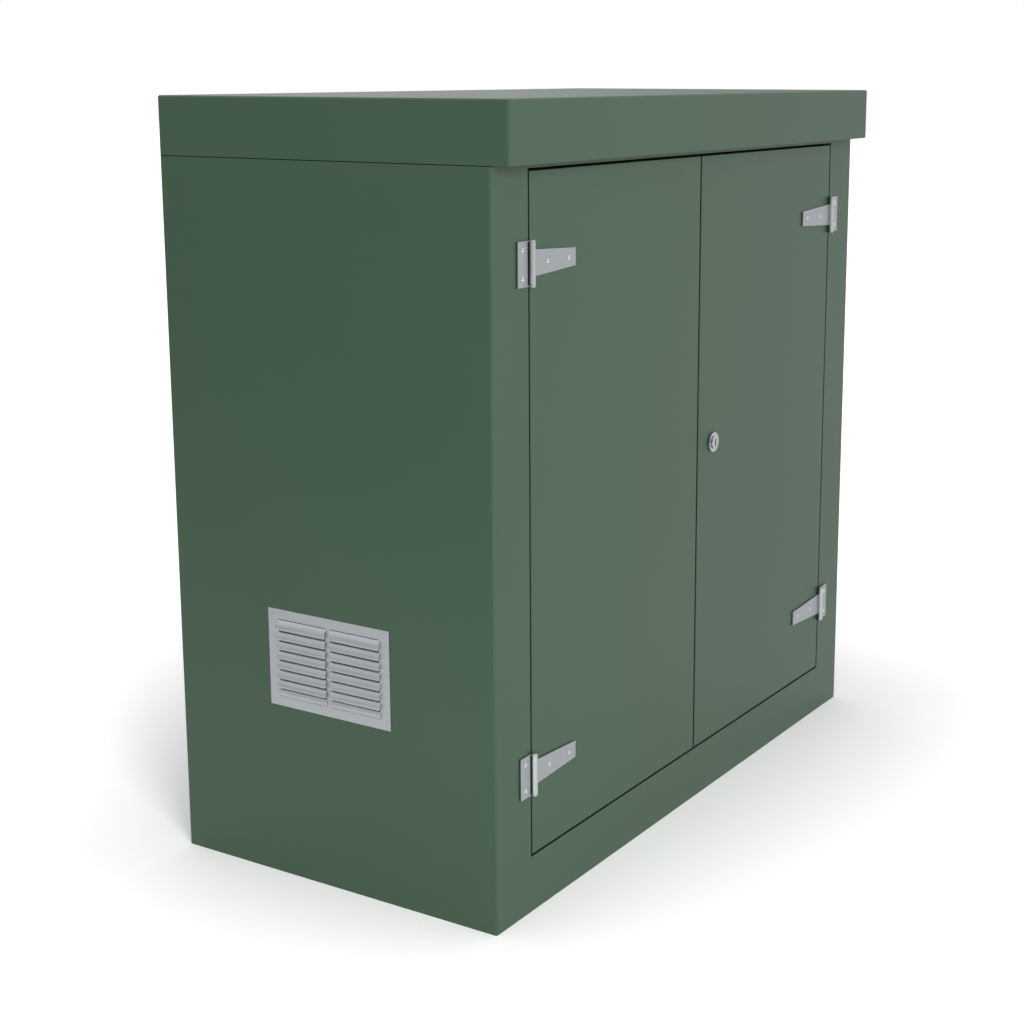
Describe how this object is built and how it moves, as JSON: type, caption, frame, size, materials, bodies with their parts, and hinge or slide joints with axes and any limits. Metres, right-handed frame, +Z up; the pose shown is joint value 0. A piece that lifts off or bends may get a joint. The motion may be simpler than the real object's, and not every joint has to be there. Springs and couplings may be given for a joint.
{
  "type": "roadside utility cabinet",
  "caption": "Green glass-fibre roadside kiosk: box body, flat overhanging roof, double doors on tee hinges, cam lock, shoot bolts, louvre vents and a plywood backboard.",
  "frame": {"origin": "on the ground, at the middle of the cabinet's outline seen from above", "axes": "+Z up, +X along the front towards the lock's door, +Y from the doors to the back"},
  "size_m": [1.2058, 0.63, 1.19],
  "materials": {
    "green_gelcoat": "satin",
    "black_seal": "matte",
    "zinc_fixings": "satin",
    "vent_aluminium": "satin",
    "hinge_steel": "satin",
    "screw_steel": "satin",
    "lock_chrome": "polished",
    "bolt_steel": "satin",
    "birch_plywood": "matte",
    "softwood_rail": "matte"
  },
  "bodies": {
    "cabinet": {"backboard": "birch_plywood", "backboard_rail_lower": "softwood_rail", "backboard_rail_upper": "softwood_rail", "backboard_screws": "zinc_fixings", "body_shell": "green_gelcoat", "bolt_keep_bottom": "bolt_steel", "bolt_keep_top": "bolt_steel", "door_seal": "black_seal", "frame_hinge_gaskets": "black_seal", "frame_hinge_nuts": "zinc_fixings", "frame_hinge_screws": "screw_steel", "hinge_leaf_left_lower": "hinge_steel", "hinge_leaf_left_upper": "hinge_steel", "hinge_leaf_right_lower": "hinge_steel", "hinge_leaf_right_upper": "hinge_steel", "hinge_pin_left_lower": "hinge_steel", "hinge_pin_left_upper": "hinge_steel", "hinge_pin_right_lower": "hinge_steel", "hinge_pin_right_upper": "hinge_steel", "roof_bolts": "zinc_fixings", "roof_canopy": "green_gelcoat", "roof_seal": "black_seal", "vent_left": "vent_aluminium", "vent_right": "vent_aluminium", "vent_rivets_left": "vent_aluminium", "vent_rivets_right": "vent_aluminium"},
    "left_door": {"left_door_panel": "green_gelcoat", "hinge_strap_left_upper": "hinge_steel", "hinge_strap_left_lower": "hinge_steel", "left_strap_screws": "screw_steel", "left_strap_nuts": "zinc_fixings", "left_strap_gaskets": "black_seal", "cam_keep": "bolt_steel", "bolt_bracket_top": "bolt_steel", "bolt_bracket_bottom": "bolt_steel", "bolt_screws": "zinc_fixings"},
    "right_door": {"right_door_panel": "green_gelcoat", "hinge_strap_right_upper": "hinge_steel", "hinge_strap_right_lower": "hinge_steel", "right_strap_screws": "screw_steel", "right_strap_nuts": "zinc_fixings", "right_strap_gaskets": "black_seal", "lock_body": "lock_chrome", "lock_nut": "zinc_fixings"},
    "lock_barrel": {"lock_plug": "lock_chrome", "lock_cam": "bolt_steel", "cam_screw": "zinc_fixings"},
    "top_bolt": {"shoot_bolt_top": "bolt_steel"},
    "bottom_bolt": {"shoot_bolt_bottom": "bolt_steel"}
  },
  "joints": [
    {"name": "left_door_hinge", "type": "hinge", "parent": "cabinet", "child": "left_door", "pos_m": [-0.5033, -0.2902, 0.59105], "axis": [0, 0, -1], "range_deg": [0, 180]},
    {"name": "right_door_hinge", "type": "hinge", "parent": "cabinet", "child": "right_door", "pos_m": [0.5033, -0.2902, 0.59105], "axis": [0, 0, 1], "range_deg": [0, 180]},
    {"name": "lock_turn", "type": "hinge", "parent": "right_door", "child": "lock_barrel", "pos_m": [0.052, -0.285, 0.615], "axis": [0, 1, 0], "range_deg": [0, 90]},
    {"name": "top_bolt_slide", "type": "slide", "parent": "left_door", "child": "top_bolt", "axis": [0, 0, 1], "range_m": [0, 0.025]},
    {"name": "bottom_bolt_slide", "type": "slide", "parent": "left_door", "child": "bottom_bolt", "axis": [0, 0, -1], "range_m": [0, 0.025]}
  ]
}
